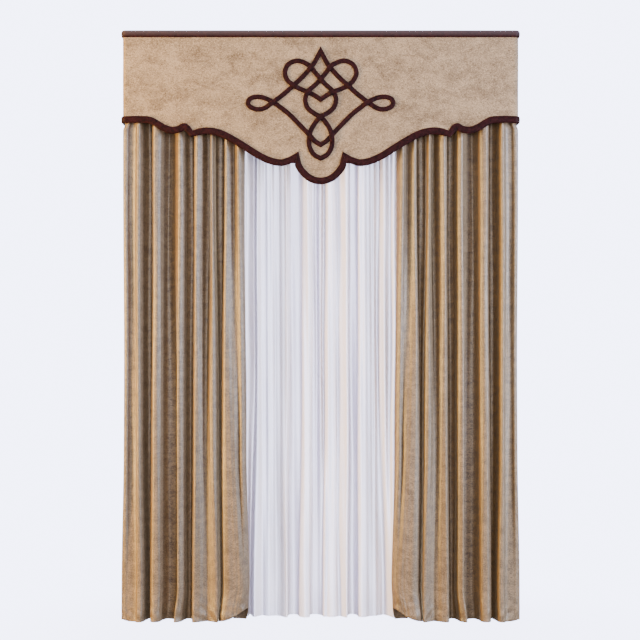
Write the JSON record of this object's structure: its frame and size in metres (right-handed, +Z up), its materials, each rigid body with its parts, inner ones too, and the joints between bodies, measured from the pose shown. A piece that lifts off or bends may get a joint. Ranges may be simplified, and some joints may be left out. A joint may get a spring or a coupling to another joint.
{
  "type": "curtain set with pelmet, drapes and sheer",
  "caption": "Floor-length velvet drapes and a white sheer hanging behind a stiff shaped pelmet, with dark velvet bands along its edges and a corded knot in relief at its centre.",
  "frame": {"origin": "on the upper face of the pelmet's board, halfway along it and 100 mm behind the pelmet's front face", "axes": "+Z up, +X along the window to the right as seen from the room, -Y towards the room"},
  "size_m": [2.0036, 0.2117, 2.9625],
  "materials": {
    "pelmet_velvet": "beige crushed velvet over a stiff base, faintly mottled",
    "band_velvet": "dark wine-brown velvet over padding",
    "drape_velvet": "taupe and gold crushed velvet with a soft sheen",
    "sheer_voile": "thin white voile",
    "painted_board": "plain painted board, out of sight in use"
  },
  "bodies": {
    "root": {"pelmet_board": "painted_board", "pelmet_panel": "pelmet_velvet", "top_band": "band_velvet", "bottom_band_left_outer": "band_velvet", "bottom_band_left_middle": "band_velvet", "bottom_band_centre": "band_velvet", "bottom_band_right_middle": "band_velvet", "bottom_band_right_outer": "band_velvet", "knot_cord_outer": "band_velvet", "knot_cord_inner": "band_velvet", "drape_left": "drape_velvet", "drape_right": "drape_velvet", "sheer": "sheer_voile"}
  },
  "joints": []
}
